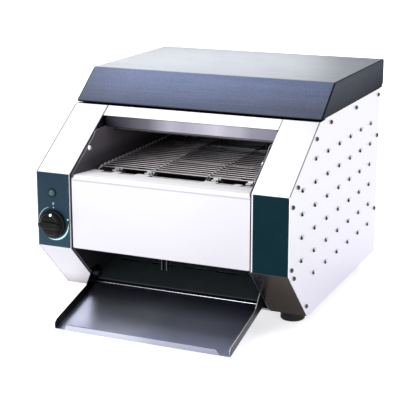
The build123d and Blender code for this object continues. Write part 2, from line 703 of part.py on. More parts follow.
def build_parts():
    """Every node of the machine by name."""
    parts = {
        "hood": hood(), "top_deck": top_deck(), "rear_panel": rear_panel(), "base_pan": base_pan(),
        "front_panel": front_panel(), "front_panel_clip": front_panel_clip(), "cross_strip": cross_strip(),
        "upper_baffle": upper_baffle(), "control_plate": face_plate(-1), "blank_plate": face_plate(1),
        "wire_belt": wire_belt(), "belt_support_bars": belt_support_bars(),
        "front_idler_shaft": shaft(-137.0, 137.0, front_shaft_y),
        "rear_drive_shaft": shaft(-137.0, gear_inner + gear_width + 4, rear_shaft_y),
        "front_sprockets": sprockets(front_shaft_y), "rear_sprockets": sprockets(rear_shaft_y),
        "front_bushes": bushes(front_shaft_y), "rear_bushes": bushes(rear_shaft_y),
        "upper_heating_tubes": heating_tubes(upper_tube_z),
        "lower_heating_tubes": heating_tubes(lower_tube_z),
        "upper_reflector": upper_reflector(), "lower_reflector": lower_reflector(),
        "rear_toast_guide": rear_toast_guide(), "toast_slide": toast_slide(), "toast_tray": toast_tray(),
        "tray_pivot_screws": tray_pivot_screws(),
        "crumb_tray": crumb_tray(), "crumb_tray_runners": crumb_tray_runners(),
        "drive_gear": drive_gear(), "motor_pinion": motor_pinion(),
        "motor_output_shaft": motor_output_shaft(), "gear_motor": gear_motor(),
        "motor_bracket": motor_bracket(), "control_knob": control_knob(), "knob_shaft": knob_shaft(),
        "speed_control": speed_control(), "pilot_lamp": pilot_lamp(), "lamp_holder": lamp_holder(),
        "terminal_block": terminal_block(), "cord_gland": cord_gland(),
    }
    for name, side in sides.items():
        parts[f"{name}_side_panel"] = side_panel(side)
        parts[f"{name}_front_column"] = front_column(side)
        parts[f"{name}_inner_cheek"] = inner_cheek(side)
        for row, y in (("front", foot_front_y), ("rear", foot_rear_y)):
            parts[f"{row}_{name}_foot"] = rubber_foot(side * foot_x, y)
    return parts


def main():
    os.makedirs("parts", exist_ok=True)
    for name, shape in build_parts().items():
        export_step(Pos(0, -middle_y, foot_height) * shape, f"parts/{name}.step")


main()
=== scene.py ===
import math

import bmesh
import bpy
import numpy as np
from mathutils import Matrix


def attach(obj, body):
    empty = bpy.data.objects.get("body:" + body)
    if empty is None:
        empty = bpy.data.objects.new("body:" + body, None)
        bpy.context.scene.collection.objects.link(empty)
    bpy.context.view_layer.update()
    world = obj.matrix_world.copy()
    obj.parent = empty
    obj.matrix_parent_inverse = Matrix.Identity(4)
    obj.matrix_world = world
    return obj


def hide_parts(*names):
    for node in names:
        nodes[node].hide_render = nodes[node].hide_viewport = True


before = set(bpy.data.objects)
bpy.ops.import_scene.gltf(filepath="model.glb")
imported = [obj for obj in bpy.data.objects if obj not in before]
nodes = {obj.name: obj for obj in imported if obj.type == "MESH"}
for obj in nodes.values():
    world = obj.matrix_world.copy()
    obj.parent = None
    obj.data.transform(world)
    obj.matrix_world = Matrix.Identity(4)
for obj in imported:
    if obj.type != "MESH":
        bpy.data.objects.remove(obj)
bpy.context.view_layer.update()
print("frame loaded, pieces:", len(nodes))

# The machine's own frame, in millimetres: X to the viewer's right, Y to the rear from the control face, Z up
# from the base. From faceBottom to slopeHeight come the folds of the sides' front edge.
machine = {"middleY": 179.8232, "footHeight": 20.0, "half": 184.0, "faceBottom": 78.4, "faceTop": 182.8,
           "undercutDepth": 78.7, "slopeDepth": 114.8, "slopeHeight": 258.8, "cheekInner": 128.6}


def toRow(points):
    # Millimetres in the machine's frame to metres in the row frame: back to the middle and up by the feet.
    shift = np.array([0.0, -machine["middleY"], machine["footHeight"]])
    return (np.asarray(points, float) + shift) / 1000.0


def hexColor(text):
    # sRGB hex to linear: the usual two-part curve, straight near black.
    value = np.array([int(text[i:i + 2], 16) / 255 for i in (1, 3, 5)])
    linear = np.where(value <= 0.04045, value / 12.92, ((value + 0.055) / 1.055) ** 2.4)
    return (*linear.tolist(), 1.0)


def gridFaces(rows, columns, wrap=False):
    # Quads between neighbours of a rows x columns grid of points; wrap joins the last column to the first.
    row, column = np.meshgrid(np.arange(rows - 1), np.arange(columns if wrap else columns - 1), indexing="ij")
    after = (column + 1) % columns
    near, far = row * columns, (row + 1) * columns
    return np.stack([near + column, near + after, far + after, far + column], -1).reshape(-1, 4)


def markEdges(mesh, angle):
    # Smooth faces, sharp where two meet at more than the angle and round every flat face of many sides.
    mesh.polygons.foreach_set("use_smooth", np.ones(len(mesh.polygons), bool))
    mesh.set_sharp_from_angle(angle=math.radians(angle))
    edges, sizes = np.empty(len(mesh.loops), np.int32), np.empty(len(mesh.polygons), np.int32)
    mesh.loops.foreach_get("edge_index", edges)
    mesh.polygons.foreach_get("loop_total", sizes)
    sharp = np.empty(len(mesh.edges), bool)
    mesh.edges.foreach_get("use_edge_sharp", sharp)
    sharp[edges[np.repeat(sizes > 4, sizes)]] = True
    mesh.edges.foreach_set("use_edge_sharp", sharp)


def newPiece(name, surfaces, body, material, replaced=(), wall=0.0, sharp=38.0, closed=True, even=True):
    # One mesh from several (points in mm, faces) surfaces: what meets is merged, a closed piece faces
    # outwards, and a sheet drawn by its outer face gets its wall inwards.
    count, points, faces = 0, [], []
    for surfacePoints, surfaceFaces in surfaces:
        flat = np.asarray(surfacePoints, float).reshape(-1, 3)
        points.append(flat)
        if isinstance(surfaceFaces, np.ndarray):
            faces += (surfaceFaces + count).tolist()
        else:
            faces += [[corner + count for corner in face] for face in surfaceFaces]
        count += len(flat)
    mesh = bpy.data.meshes.new(name)
    mesh.from_pydata(toRow(np.concatenate(points)).tolist(), [], faces)
    work = bmesh.new()
    work.from_mesh(mesh)
    bmesh.ops.remove_doubles(work, verts=work.verts, dist=2e-6)
    bmesh.ops.dissolve_degenerate(work, edges=work.edges, dist=1e-7)
    if closed:
        bmesh.ops.recalc_face_normals(work, faces=work.faces)
    work.to_mesh(mesh)
    work.free()
    piece = bpy.data.objects.new(name, mesh)
    bpy.context.collection.objects.link(piece)
    if wall:
        solid = piece.modifiers.new("wall", "SOLIDIFY")
        solid.thickness, solid.offset, solid.use_even_offset = wall / 1000, -1.0, even
        finished = piece.evaluated_get(bpy.context.evaluated_depsgraph_get())
        piece.data = bpy.data.meshes.new_from_object(finished)
        piece.modifiers.clear()
    markEdges(piece.data, sharp)
    piece.data.materials.append(material)
    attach(piece, body)
    if replaced:
        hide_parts(*replaced)
    return piece


def roundedLine(corners, radii, steps=5):
    # A line through corners in a plane, each inner corner turned into an arc of its radius: the arc's centre
    # lies on the corner's bisector, and its points swing from one tangent point to the other.
    corners = np.asarray(corners, float)
    parts = [corners[:1]]
    for before, corner, after, radius in zip(corners, corners[1:], corners[2:], radii):
        toBefore = (before - corner) / np.linalg.norm(before - corner)
        toAfter = (after - corner) / np.linalg.norm(after - corner)
        turn = math.pi - math.acos(np.clip(toBefore @ toAfter, -1, 1))
        reach = radius * math.tan(turn / 2)
        bisector = (toBefore + toAfter) / np.linalg.norm(toBefore + toAfter)
        centre = corner + bisector * radius / math.cos(turn / 2)
        first, last = corner + toBefore * reach - centre, corner + toAfter * reach - centre
        share = np.linspace(0, 1, steps + 1)[:, None]
        swing = np.sin((1 - share) * turn) * first + np.sin(share * turn) * last
        parts.append(centre + swing / math.sin(turn))
    return np.concatenate(parts + [corners[-1:]])


def turnedSurface(profile, centre, axis, steps=48):
    # Each (radius, distance) of a profile goes round the axis: centre + distance along it + radius times a
    # turning unit vector.
    axis = np.asarray(axis, float) / np.linalg.norm(axis)
    side = np.cross(axis, [0.31, 0.52, 0.79])
    side /= np.linalg.norm(side)
    turn = np.linspace(0, 2 * np.pi, steps, endpoint=False)[:, None]
    ring = np.cos(turn) * side + np.sin(turn) * np.cross(axis, side)
    profile = np.asarray(profile, float)
    points = np.asarray(centre, float) + profile[:, 1, None, None] * axis + profile[:, 0, None, None] * ring
    return points, gridFaces(len(profile), steps, wrap=True)


def tubeSurface(paths, radius, outward, sides=6):
    # Round wires along a stack of paths: at each point a ring of the radius stands square to the path, and
    # both ends close on the path itself.
    paths = np.asarray(paths, float)
    tangent = np.gradient(paths, axis=1)
    tangent /= np.linalg.norm(tangent, axis=-1, keepdims=True)
    side = np.cross(tangent, outward)
    side /= np.linalg.norm(side, axis=-1, keepdims=True)
    over = np.cross(side, tangent)
    turn = np.linspace(0, 2 * np.pi, sides, endpoint=False)
    ring = np.cos(turn)[:, None] * side[:, :, None] + np.sin(turn)[:, None] * over[:, :, None]
    middle = paths[:, :, None] + radius * ring
    ends = [np.repeat(paths[:, at, None, None], sides, 2) for at in (0, -1)]
    points = np.concatenate([ends[0], middle, ends[1]], axis=1)
    count, stations = points.shape[:2]
    one = gridFaces(stations, sides, wrap=True)
    return points, (one[None] + (np.arange(count) * stations * sides)[:, None, None]).reshape(-1, 4)


def flatSheet(outline, holes=()):
    # A filled outline with holes, as (points, faces): Blender fills a 2-D curve, whose mesh is read back.
    curve = bpy.data.curves.new("flatSheet", "CURVE")
    curve.dimensions, curve.fill_mode = "2D", "BOTH"
    for loop in [outline, *holes]:
        spline = curve.splines.new("POLY")
        spline.points.add(len(loop) - 1)
        flat = np.zeros((len(loop), 4))
        flat[:, :2], flat[:, 3] = loop, 1.0
        spline.points.foreach_set("co", flat.ravel())
        spline.use_cyclic_u = True
    holder = bpy.data.objects.new("flatSheet", curve)
    mesh = bpy.data.meshes.new_from_object(holder)
    points = np.empty(len(mesh.vertices) * 3)
    mesh.vertices.foreach_get("co", points)
    faces = [list(face.vertices) for face in mesh.polygons]
    bpy.data.objects.remove(holder)
    bpy.data.curves.remove(curve)
    bpy.data.meshes.remove(mesh)
    return points.reshape(-1, 3)[:, :2], faces


def addNode(tree, kind, inputs=None, links=None, **settings):
    # One shader node with its properties, input values and links.
    node = tree.nodes.new(kind)
    for name, value in settings.items():
        setattr(node, name, value)
    for name, value in (inputs or {}).items():
        node.inputs[name].default_value = value
    for name, source in (links or {}).items():
        tree.links.new(source, node.inputs[name])
    return node


def newMaterial(name):
    # An empty node material with its shader, its output and object coordinates in metres.
    material = bpy.data.materials.new(name)
    material.use_nodes = True
    tree = material.node_tree
    tree.nodes.clear()
    shader = addNode(tree, "ShaderNodeBsdfPrincipled")
    addNode(tree, "ShaderNodeOutputMaterial", links={"Surface": shader.outputs["BSDF"]})
    coords = addNode(tree, "ShaderNodeTexCoord")
    return material, tree, shader, coords.outputs["Object"]


def rampBetween(tree, source, low, high, start, end):
    # Two colours with a soft step between two positions.
    ramp = addNode(tree, "ShaderNodeValToRGB", links={"Fac": source})
    first, last = ramp.color_ramp.elements
    first.position, last.position = start, end
    first.color, last.color = low, high
    return ramp.outputs["Color"]


def toneAlong(tree, coords, color, tones):
    # Multiplies a colour by a tone that changes along an axis, or takes the lighter one where the tone says
    # so; its stops are machine-frame millimetres with a hex tone.
    for axisName, stops, *lighter in tones:
        axis = "xyz".index(axisName)
        (start, startTone), *between, (end, endTone) = stops
        ends = toRow([[start] * 3, [end] * 3])[:, axis]
        place = addNode(tree, "ShaderNodeSeparateXYZ", links={"Vector": coords})
        share = addNode(tree, "ShaderNodeMapRange", {"From Min": ends[0], "From Max": ends[1]},
                        {"Value": place.outputs[axis]})
        ramp = addNode(tree, "ShaderNodeValToRGB", links={"Fac": share.outputs["Result"]})
        elements = ramp.color_ramp.elements
        elements[0].color, elements[1].color = hexColor(startTone), hexColor(endTone)
        for stop, tone in between:
            elements.new((stop - start) / (end - start)).color = hexColor(tone)
        mix = addNode(tree, "ShaderNodeMix", {0: 1.0}, {6: color, 7: ramp.outputs["Color"]}, data_type="RGBA",
                      blend_type="LIGHTEN" if lighter else "MULTIPLY")
        color = mix.outputs[2]
    return color


# Rolled steel: streaks are 80 times as long as wide, a noise cell spans four of them, and clouds are
# 80 mm across.
rolled = {"stretch": 0.012, "streakScale": 250.0, "cloudScale": 12.0, "mix": 0.5, "ramp": (0.32, 0.68),
          "reliefDepth": 0.0002}


def sheetMetal(name, low, high, roughness, spread, grainAxis, grainMm=0.8, bump=0.02, metallic=1.0, tones=(),
               edge="#ffffff"):
    # Rolled sheet: long streaks along one axis and a broad cloud share the tone and the gloss; edge tints
    # what it mirrors at a low angle. Real rolling lines are about 0.05 mm wide, too fine to show, so grainMm
    # draws them coarser.
    material, tree, shader, coords = newMaterial(name)
    stretch = [1.0, 1.0, 1.0]
    stretch["xyz".index(grainAxis)] = rolled["stretch"]
    mapped = addNode(tree, "ShaderNodeMapping", {"Scale": stretch}, {"Vector": coords})
    streaks = addNode(tree, "ShaderNodeTexNoise",
                      {"Scale": rolled["streakScale"] / grainMm, "Detail": 3.0, "Roughness": 0.6},
                      {"Vector": mapped.outputs["Vector"]})
    cloud = addNode(tree, "ShaderNodeTexNoise",
                    {"Scale": rolled["cloudScale"], "Detail": 4.0, "Roughness": 0.55}, {"Vector": coords})
    part = addNode(tree, "ShaderNodeMath", {1: rolled["mix"]}, {0: streaks.outputs["Fac"]},
                   operation="MULTIPLY")
    total = addNode(tree, "ShaderNodeMath", {1: rolled["mix"]}, {0: cloud.outputs["Fac"], 2: part.outputs[0]},
                    operation="MULTIPLY_ADD")
    color = rampBetween(tree, total.outputs[0], hexColor(low), hexColor(high), *rolled["ramp"])
    gloss = addNode(tree, "ShaderNodeMapRange",
                    {"From Min": 0.3, "From Max": 0.7, "To Min": roughness - spread,
                     "To Max": roughness + spread}, {"Value": total.outputs[0]})
    color = toneAlong(tree, coords, color, tones)
    tree.links.new(color, shader.inputs["Base Color"])
    tree.links.new(gloss.outputs["Result"], shader.inputs["Roughness"])
    shader.inputs["Metallic"].default_value = metallic
    shader.inputs["Specular Tint"].default_value = hexColor(edge)
    if bump:
        relief = addNode(tree, "ShaderNodeBump", {"Strength": bump, "Distance": rolled["reliefDepth"]},
                         {"Height": streaks.outputs["Fac"]})
        tree.links.new(relief.outputs["Normal"], shader.inputs["Normal"])
    return material


# Moulded and painted skins: clouds are 45 mm across; a brushed sheen has streaks of 6 mm, 33 times as
# long as wide.
coated = {"cloudScale": 22.0, "glossSpread": 0.05, "brushScale": 160.0, "brushStretch": (0.03, 1.0, 1.0)}


def moulded(name, low, high, roughness, grainMm, bump, ior=1.5, sheen=0.5, relief=0.0004, tones=(),
            contrast=0.12, cloudShare=0.5, paintedSheenTones=(), brushed=0.0):
    # Moulded or painted skin: two near tones over fine grain and a broad cloud, with the grain as relief.
    # Painted sheen tones may also scale the sheen from place to place, as painted light, and brushed breaks
    # it into long streaks along X.
    material, tree, shader, coords = newMaterial(name)
    grain = addNode(tree, "ShaderNodeTexNoise", {"Scale": 1000 / grainMm, "Detail": 3.0, "Roughness": 0.55},
                    {"Vector": coords})
    cloud = addNode(tree, "ShaderNodeTexNoise", {"Scale": coated["cloudScale"], "Detail": 3.0},
                    {"Vector": coords})
    part = addNode(tree, "ShaderNodeMath", {1: 1 - cloudShare}, {0: grain.outputs["Fac"]},
                   operation="MULTIPLY")
    total = addNode(tree, "ShaderNodeMath", {1: cloudShare}, {0: cloud.outputs["Fac"], 2: part.outputs[0]},
                    operation="MULTIPLY_ADD")
    color = rampBetween(tree, total.outputs[0], hexColor(low), hexColor(high), 0.5 - contrast, 0.5 + contrast)
    color = toneAlong(tree, coords, color, tones)
    gloss = addNode(tree, "ShaderNodeMapRange",
                    {"From Min": 0.35, "From Max": 0.65, "To Min": roughness - coated["glossSpread"],
                     "To Max": roughness + coated["glossSpread"]}, {"Value": total.outputs[0]})
    tree.links.new(color, shader.inputs["Base Color"])
    tree.links.new(gloss.outputs["Result"], shader.inputs["Roughness"])
    if bump:
        bumpNode = addNode(tree, "ShaderNodeBump", {"Strength": bump, "Distance": relief},
                           {"Height": grain.outputs["Fac"]})
        tree.links.new(bumpNode.outputs["Normal"], shader.inputs["Normal"])
    shader.inputs["IOR"].default_value = ior
    shader.inputs["Specular IOR Level"].default_value = sheen
    if paintedSheenTones:
        mapped = addNode(tree, "ShaderNodeMapping", {"Scale": coated["brushStretch"]}, {"Vector": coords})
        streaks = addNode(tree, "ShaderNodeTexNoise",
                          {"Scale": coated["brushScale"], "Detail": 4.0, "Roughness": 0.7},
                          {"Vector": mapped.outputs["Vector"]})
        levels = (sheen * (1 - brushed), sheen * (1 + brushed))
        dull, bright = [(level, level, level, 1.0) for level in levels]
        grey = rampBetween(tree, streaks.outputs["Fac"], dull, bright, 0.3, 0.7)
        tree.links.new(toneAlong(tree, coords, grey, paintedSheenTones), shader.inputs["Specular IOR Level"])
    return material


# Tones are painted on at fixed places of the machine, whatever the light: painted shade in folds, under edges
# and deep inside, painted light and highlights, and painted reflections of what a bright sheet mirrors of its
# surroundings.

# Bright rolled 304 stainless: an even near-white with a soft mirror, with painted shade where it runs in
# under the hood.
underHoodPaintedShade = ("y", [(96, "#ffffff"), (114.9, "#ffffff"), (115.3, "#2c2c30"), (134, "#2c2c30")])
stainlessBright = sheetMetal("stainless304BrightRolled", "#b8b8bb", "#c0c0c3", 0.24, 0.03, "z", bump=0.0,
                             tones=[underHoodPaintedShade])

# The left column in the same sheet: white on its face, with a painted reflection that greys the chamfer below
# and painted shade on its inner flange.
columnLeft = sheetMetal("stainless304ColumnLeft", "#f4f4f8", "#fdfdff", 0.26, 0.03, "z", bump=0.0, tones=[
    ("z", [(-2, "#8a8486"), (10, "#aeaaab"), (24, "#bfbcc0"), (76, "#b6b5b9"), (79, "#c0c0c2")]),
    ("x", [(-184, "#ffffff"), (-133.2, "#ffffff"), (-132.8, "#98969e"), (-128, "#98969e")]),
    underHoodPaintedShade])

# The right column, white too: a dark brownish grey tone stands for what its lower chamfer mirrors.
columnRight = sheetMetal("stainless304ColumnRight", "#f2f2f8", "#fcfcff", 0.26, 0.03, "z", bump=0.0,
                         edge="#d8d5d3", tones=[
    ("z", [(0, "#26201e"), (40, "#302a27"), (74, "#423b38"), (78.5, "#423b38"), (79.5, "#bebec0")]),
    underHoodPaintedShade])

# Satin 304 stainless of the front panel: matt, with painted light that leaves it nearly white on the ledge
# and light grey on the upright face, and painted shade along the crease and a touch towards the right.
stainlessPanel = sheetMetal("stainless304SatinPanel", "#fafafe", "#fdfdff", 0.45, 0.02, "x", bump=0.0,
                            metallic=0.45, tones=[
    ("y", [(0, "#bbbabd"), (2.4, "#bbbabd"), (7, "#c8c8ca"), (11, "#ffffff"), (64, "#ffffff")]),
    ("z", [(174.2, "#ffffff"), (175.0, "#dcdce0"), (176.4, "#d8d8dc"), (176.95, "#ffffff")]),
    ("x", [(-130, "#ffffff"), (20, "#fefefe"), (130, "#f6f5f6")])])

# Satin 304 stainless of the sides: a cool pale grey with a soft shine; painted shade darkens the left side,
# which is turned from the light, and painted light makes it a shade lighter at the top.
stainlessSide = sheetMetal("stainless304SatinSide", "#d2d1da", "#d8d7df", 0.38, 0.03, "z", bump=0.0, tones=[
    ("z", [(0, "#eeecf2"), (60, "#edecef"), (110, "#ebebe9"), (290, "#f4f5f1")]),
    ("x", [(-190, "#c4c4c8"), (-100, "#c4c4c8"), (100, "#ffffff"), (190, "#ffffff")])])

# Brushed stainless of the baffle: upright brushing spreads what it mirrors into broad bands; its tones are
# these bands as painted reflections, dark at its left end in painted shade.
baffleSteel = sheetMetal("stainless304BrushedBaffle", "#a2a0a7", "#acaab1", 0.34, 0.05, "z", grainMm=1.6,
                         bump=0.0, tones=[
    ("x", [(-128.6, "#38373c"), (-100, "#5c5b62"), (-62, "#86848c"), (-44, "#b9b8bf"), (-27, "#d3d2d9"),
           (-10, "#c6c4cb"), (24, "#d9d8de"), (41, "#e6e5ea"), (58, "#cecdd4"), (75, "#c5c8cf"),
           (92, "#a7a7af"), (128.6, "#96979f")])])

# 430 stainless of the rear: a plain grey sheet with faint upright rolling lines.
stainlessRear = sheetMetal("stainless430Rear", "#9c9ca3", "#acacb2", 0.34, 0.05, "z", grainMm=0.9, bump=0.01)

# Mill rolled 430 stainless of the toast tray: its tones are painted reflections of the sky in front and of
# the dark underside at its rear, painted shade on its side walls and along the lip's edge, and painted light
# that leaves the floor brightest on the left.
trayStainless = sheetMetal("stainless430MillRolled", "#e2e8fa", "#e6ecfc", 0.29, 0.004, "x", grainMm=3.0,
                           bump=0.0, tones=[
    ("y", [(-60, "#c4c2c0"), (-57.1, "#c4c2c0"), (-56.7, "#dadbe2"), (-42, "#f0f0f4"), (-28, "#ffffff"),
           (10, "#f9f9fa"), (50, "#a6a6b0"), (64, "#8c8c96")]),
    ("y", [(-59.6, "#6c6e78"), (-59.26, "#6c6e78"), (-59.21, "#ffffff"), (-58, "#ffffff")]),
    ("z", [(-18, "#ffffff"), (12.9, "#ffffff"), (13.4, "#2a2a2e"), (40, "#2a2a2e")]),
    ("x", [(-128, "#1c1c1f"), (-126.5, "#1c1c1f"), (-126.2, "#ffffff"), (-120, "#ffffff")]),
    ("x", [(-30, "#ffffff"), (-10, "#fafafc"), (16, "#e2e2e8"), (64, "#d6d6de"), (120, "#c8c8d2")]),
    ("x", [(120, "#ffffff"), (127.4, "#ffffff"), (127.55, "#404044"), (128, "#404044")])])

# The same sheet, plainly rolled, in the crumb tray. The toast tray's rolled rims carry a painted highlight on
# the right and painted shade on the left.
crumbSteel = sheetMetal("stainless430CrumbTray", "#909096", "#a4a4aa", 0.28, 0.04, "x", grainMm=0.9,
                        bump=0.01)
rimSteel = sheetMetal("stainless430RolledRim", "#c8c8cc", "#dcdce2", 0.3, 0.03, "y", grainMm=0.9, bump=0.0,
                      tones=[
    ("x", [(-128, "#303034"), (-100, "#303034"), (100, "#ffffff"), (128, "#ffffff")])])

# Heat-tinted steel of the chamber's cheeks: a dull violet grey, darker low down. Painted shade darkens it
# towards the front and on its outer edges, and painted light makes it bright only above the belt.
cheekSteel = sheetMetal("heatTintedCheekPaintedShade", "#777179", "#7f7981", 0.5, 0.04, "y", grainMm=2.0, bump=0.0,
                        metallic=0.45, tones=[
    ("z", [(0, "#5c6264"), (76, "#5c6264"), (90, "#88888c"), (180, "#98989c"), (192, "#a8a8ac"),
           (204, "#f4f4f6"), (235, "#ffffff")]),
    ("y", [(0, "#d4d4d4"), (60, "#d8d8d8"), (115, "#ffffff"), (300, "#ffffff")]),
    ("x", [(-132, "#38383c"), (-129.9, "#38383c"), (-129.6, "#ffffff"), (-120, "#ffffff")]),
    ("x", [(120, "#ffffff"), (129.6, "#ffffff"), (129.9, "#38383c"), (132, "#38383c")])])

# Sheets inside: the slide is nearly black with a green cast, heat turns the guide violet grey and burns the
# reflectors dark, and the aluminised deck and pan stay a dull pale grey. The clip is a blackened spring
# strip.
nearBlackSlideSteel = sheetMetal("nearBlackSteelSheet", "#282f34", "#343b3d", 0.55, 0.05, "y", grainMm=1.5, bump=0.0,
                         metallic=0.5)
springSteel = sheetMetal("springSteelStrip", "#36383c", "#45474b", 0.45, 0.05, "z", bump=0.0)
heatedSteel = sheetMetal("heatDarkenedSteelSheet", "#5a5862", "#76747e", 0.5, 0.06, "y", grainMm=1.0,
                         bump=0.02)
ovenSteel = sheetMetal("burntReflectorSheet", "#201f1f", "#2c2a2a", 0.5, 0.06, "x", grainMm=1.4, bump=0.0)
aluminisedSheet = sheetMetal("aluminisedSteelSheet", "#8b8b90", "#b1b1b6", 0.42, 0.08, "x", grainMm=1.0,
                             bump=0.03)

# Drawn stainless wire: pale and shiny by the mouth, with painted shade that dulls it deep in the oven and a
# painted highlight on its rolled ends on the left.
drawnWire = sheetMetal("stainlessDrawnWire", "#e6e2e2", "#f6f2f2", 0.3, 0.04, "x", grainMm=0.6, bump=0.0,
                       metallic=0.75, tones=[
    ("y", [(50, "#bcb9ba"), (120, "#bcb9ba"), (165, "#b4b2b5"), (200, "#98969b"), (225, "#808084"),
           (270, "#484c4e"), (380, "#484c4e")]),
    ("x", [(-126, "#d2d2d6"), (-121.4, "#d2d2d6"), (-120.6, "#000000"), (-118, "#000000")], "lighter")])

# Turned, plated and cast parts: grey carbon steel with fine turning, bright nickel and black oxide on the
# screws, warm porous bronze, brown grey heater sheath and matt die-cast aluminium.
turnedSteel = sheetMetal("turnedCarbonSteel", "#88888e", "#a4a4aa", 0.34, 0.06, "x", grainMm=0.5, bump=0.0)
nickelScrew = sheetMetal("nickelPlatedSteel", "#c8c8cc", "#e8e8ee", 0.2, 0.03, "y", grainMm=0.6, bump=0.0)
blackScrew = sheetMetal("blackOxideSteel", "#3a3a3c", "#55555a", 0.38, 0.05, "y", grainMm=0.6, bump=0.0)
oilBronze = sheetMetal("sinteredBronze", "#8a6a3c", "#a9854e", 0.45, 0.08, "x", grainMm=0.8, bump=0.05)
sheathTube = sheetMetal("oxidisedSheathTube", "#5a5654", "#8a8480", 0.36, 0.08, "x", grainMm=1.0, bump=0.03)
castAluminium = sheetMetal("dieCastAluminium", "#8f9094", "#aeb0b4", 0.5, 0.08, "z", grainMm=1.5, bump=0.08)

# Slate powder coat on the hood: a fine texture, drawn coarser at 2.2 mm so that it shows, with a painted
# sheen that fades to the rear and almost leaves the sides. Its tones are painted light and shade: shade on
# the lower hem, a front face lighter towards its top fold and darker to the right, a top a touch warmer, and
# each folded corner a dark line beside a side face painted dimmer and warmer.
hoodPaint = moulded("powderCoatSlateTexture", "#4c5776", "#5b6686", 0.38, 2.2, 0.3, sheen=0.3, relief=0.0003,
                    contrast=0.12, cloudShare=0.2, brushed=0.3, tones=[
    ("z", [(259, "#222429"), (261.6, "#292b31"), (262.6, "#a1a5ac"), (280, "#dcdcde"), (296, "#ffffff"),
           (302.9, "#ffffff"), (303.2, "#fffce2"), (304, "#fffce2")]),
    ("x", [(-186, "#d8cbb0"), (-185.1, "#d8cbb0"), (-184.8, "#1c1e22"), (-183.3, "#2c2e34"),
           (-182.5, "#ffffff"), (-180, "#ffffff")]),
    ("x", [(-180, "#e0e0dc"), (-120, "#ffffff"), (20, "#f6f6f8"), (180, "#cecece")]),
    ("x", [(180, "#ffffff"), (182.5, "#ffffff"), (183.3, "#2c2e34"), (184.8, "#1c1e22"),
           (185.1, "#ecdec0"), (186, "#ecdec0")])],
                    paintedSheenTones=[
    ("x", [(-186, "#2a2a2a"), (-184.6, "#2a2a2a"), (-183, "#ffffff"), (-180, "#ffffff")]),
    ("x", [(180, "#ffffff"), (183, "#ffffff"), (184.6, "#2a2a2a"), (186, "#2a2a2a")]),
    ("y", [(160, "#ffffff"), (270, "#e6e6e6"), (420, "#868686")])])

# Stoved enamel on the two plates: smooth deep blue green with little shine. Painted light leaves the left one
# paler at its foot, and the right one is the same enamel painted darker as shade.
enamelBlue = moulded("stovedEnamelBlueGreen", "#1a3340", "#203a48", 0.42, 1.4, 0.02, sheen=0.12, tones=[
    ("z", [(78, "#ffffff"), (120, "#dce0e4"), (183, "#b4c0cc")])])
enamelGreenPaintedShade = moulded("stovedEnamelPaintedShade", "#041c23", "#062027", 0.42, 1.4, 0.02, sheen=0.03)

# Plastics, rubber and print: satin black moulding, grey beads that are painted shade in open seams, matt
# phenolic, dull rubber, cream melamine, a glossy dark green lens, and flat pale inks.
blackAbs = moulded("absBlackMoulded", "#060607", "#0d0c0e", 0.34, 0.9, 0.02, sheen=0.11)
seamShadowGrey = moulded("seamShadowBead", "#6e6c70", "#7a787c", 0.6, 1.2, 0.0, sheen=0.1)
blackPhenolic = moulded("phenolicBlack", "#080e12", "#10181c", 0.5, 0.8, 0.08, sheen=0.15)
footRubber = moulded("nitrileRubberBlack", "#0a0c0b", "#141615", 0.6, 0.9, 0.1, sheen=0.2)
creamPhenolic = moulded("melamineCream", "#b9b3a0", "#d0cbb9", 0.45, 0.8, 0.08)
greenLens = moulded("acrylicGreenLens", "#28484e", "#305258", 0.2, 2.0, 0.0, ior=1.49, sheen=0.3)
paleInk = moulded("screenPrintPaleCyan", "#9cbcbe", "#b0cccc", 0.5, 0.9, 0.0)
whiteInk = moulded("screenPrintWhite", "#f0f4f4", "#fafcfc", 0.5, 0.9, 0.0)

# Which finish each of the frame's own pieces gets.
finishes = {
    hoodPaint: ["hood"],
    enamelBlue: ["control_plate"],
    enamelGreenPaintedShade: ["blank_plate"],
    stainlessBright: ["cross_strip"],
    stainlessPanel: ["front_panel"],
    stainlessSide: ["left_side_panel", "right_side_panel"],
    columnLeft: ["left_front_column"],
    columnRight: ["right_front_column"],
    baffleSteel: ["upper_baffle"],
    stainlessRear: ["rear_panel"],
    trayStainless: ["toast_tray"],
    crumbSteel: ["crumb_tray"],
    cheekSteel: ["left_inner_cheek", "right_inner_cheek"],
    nearBlackSlideSteel: ["toast_slide"],
    springSteel: ["front_panel_clip"],
    heatedSteel: ["rear_toast_guide"],
    aluminisedSheet: ["top_deck", "base_pan", "crumb_tray_runners", "motor_bracket"],
    ovenSteel: ["upper_reflector", "lower_reflector", "belt_support_bars"],
    drawnWire: ["wire_belt"],
    turnedSteel: ["front_idler_shaft", "rear_drive_shaft", "front_sprockets", "rear_sprockets", "drive_gear",
                  "motor_pinion", "motor_output_shaft", "knob_shaft"],
    nickelScrew: ["tray_pivot_screws"],
    oilBronze: ["front_bushes", "rear_bushes"],
    sheathTube: ["upper_heating_tubes", "lower_heating_tubes"],
    castAluminium: ["gear_motor"],
    blackAbs: ["control_knob"],
    blackPhenolic: ["speed_control", "lamp_holder", "cord_gland"],
    footRubber: ["front_left_foot", "front_right_foot", "rear_left_foot", "rear_right_foot"],
    creamPhenolic: ["terminal_block"],
    greenLens: ["pilot_lamp"],
}
for material, names in finishes.items():
    for name in names:
        nodes[name].data.materials.clear()
        nodes[name].data.materials.append(material)
print("finishes given to", sum(len(names) for names in finishes.values()), "frame pieces")

